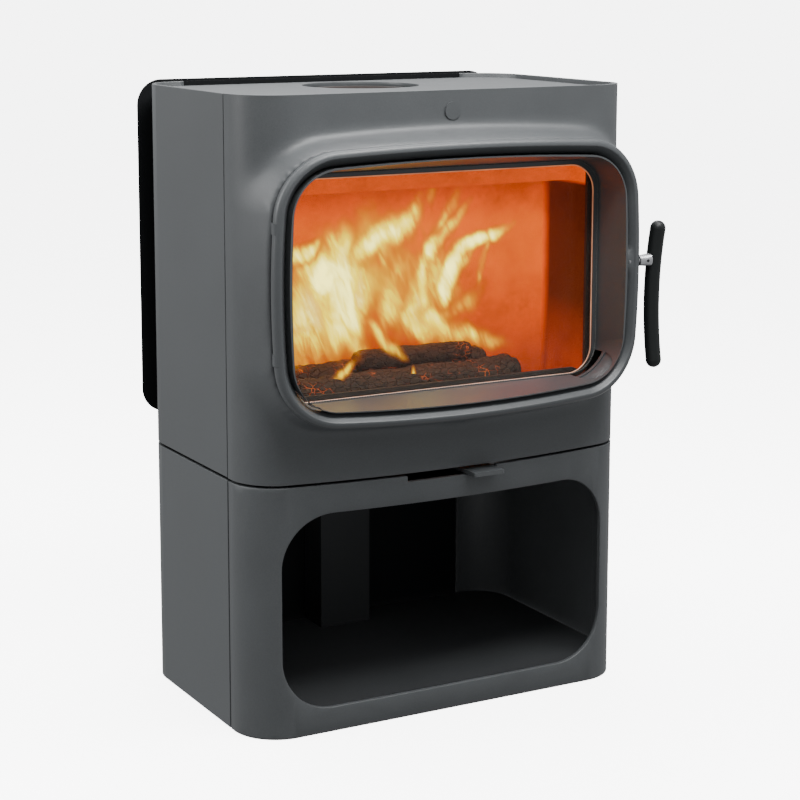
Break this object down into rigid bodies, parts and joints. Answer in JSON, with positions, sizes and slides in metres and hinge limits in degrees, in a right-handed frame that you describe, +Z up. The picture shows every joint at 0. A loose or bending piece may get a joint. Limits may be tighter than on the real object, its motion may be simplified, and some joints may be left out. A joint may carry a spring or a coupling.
{
  "type": "wood burning stove",
  "caption": "Free-standing wood burning stove on an open log-store base, with a bowed glazed door, side lever handle, sliding air control and rear heat shield.",
  "frame": {"origin": "on the floor, at the centre of the base's 650 x 400 mm footprint", "axes": "+Z up, -Y out of the front (door side), +X to the right of someone facing the door"},
  "size_m": [0.6812, 0.488, 0.94],
  "materials": {
    "cast_paint": "satin graphite stove paint over fine sand-cast grain",
    "panel_paint": "satin graphite stove paint on flat plate",
    "sheet_black": "matt black paint on thin sheet",
    "base_inside": "matt dark paint",
    "firebox_iron": "heat-darkened bare iron",
    "burn_board": "pressed mineral board, sooted",
    "door_paint": "satin graphite stove paint, smooth",
    "pane": "clear ceramic glass",
    "rope": "braided glass-fibre rope, dark",
    "handle_black": "fine-textured dark enamel",
    "steel": "plain steel",
    "screw_black": "blackened steel"
  },
  "bodies": {
    "stove": {"base_front": "cast_paint", "base_side_left": "panel_paint", "base_side_right": "panel_paint", "base_back": "sheet_black", "log_shelf": "base_inside", "base_top_plate": "base_inside", "air_duct_cover": "base_inside", "levelling_screws": "steel", "body_supports": "steel", "front_casting": "cast_paint", "side_panel_left": "panel_paint", "side_panel_right": "panel_paint", "rear_panel": "sheet_black", "body_floor": "base_inside", "top_plate": "cast_paint", "flue_collar": "firebox_iron", "firebox_left": "firebox_iron", "firebox_right": "firebox_iron", "firebox_rear": "firebox_iron", "firebox_front": "firebox_iron", "firebox_top": "firebox_iron", "firebox_bottom": "firebox_iron", "burn_plate_left": "burn_board", "burn_plate_right": "burn_board", "burn_plate_rear": "burn_board", "baffle_lower": "burn_board", "baffle_upper": "firebox_iron", "baffle_spacers": "steel", "log_retainer": "firebox_iron", "hinge_lugs": "door_paint", "latch_keeper": "steel", "air_valve_housing": "base_inside", "heat_shield": "sheet_black", "shield_spacers": "sheet_black", "shield_screws": "screw_black", "badge": "cast_paint", "rear_screws": "screw_black"},
    "door": {"door_frame": "door_paint", "glass_frame": "door_paint", "door_glass": "pane", "glass_gasket": "rope", "door_gasket": "rope", "glass_clips": "steel", "clip_screws": "steel", "hinge_pins": "steel"},
    "handle": {"handle_grip": "handle_black", "handle_shaft": "steel", "set_screw": "screw_black", "latch_cam": "steel"},
    "air_control": {"air_lever": "door_paint", "air_shutter": "steel"}
  },
  "joints": [
    {"name": "door_swing", "type": "hinge", "parent": "stove", "child": "door", "pos_m": [-0.2995, -0.236, 0.6645], "axis": [0, 0, -1], "range_deg": [0, 110]},
    {"name": "handle_turn", "type": "hinge", "parent": "door", "child": "handle", "pos_m": [0.3, -0.236, 0.671], "axis": [-1, 0, 0], "range_deg": [0, 40]},
    {"name": "air_slide", "type": "slide", "parent": "stove", "child": "air_control", "axis": [-1, 0, 0], "range_m": [0, 0.09]}
  ]
}
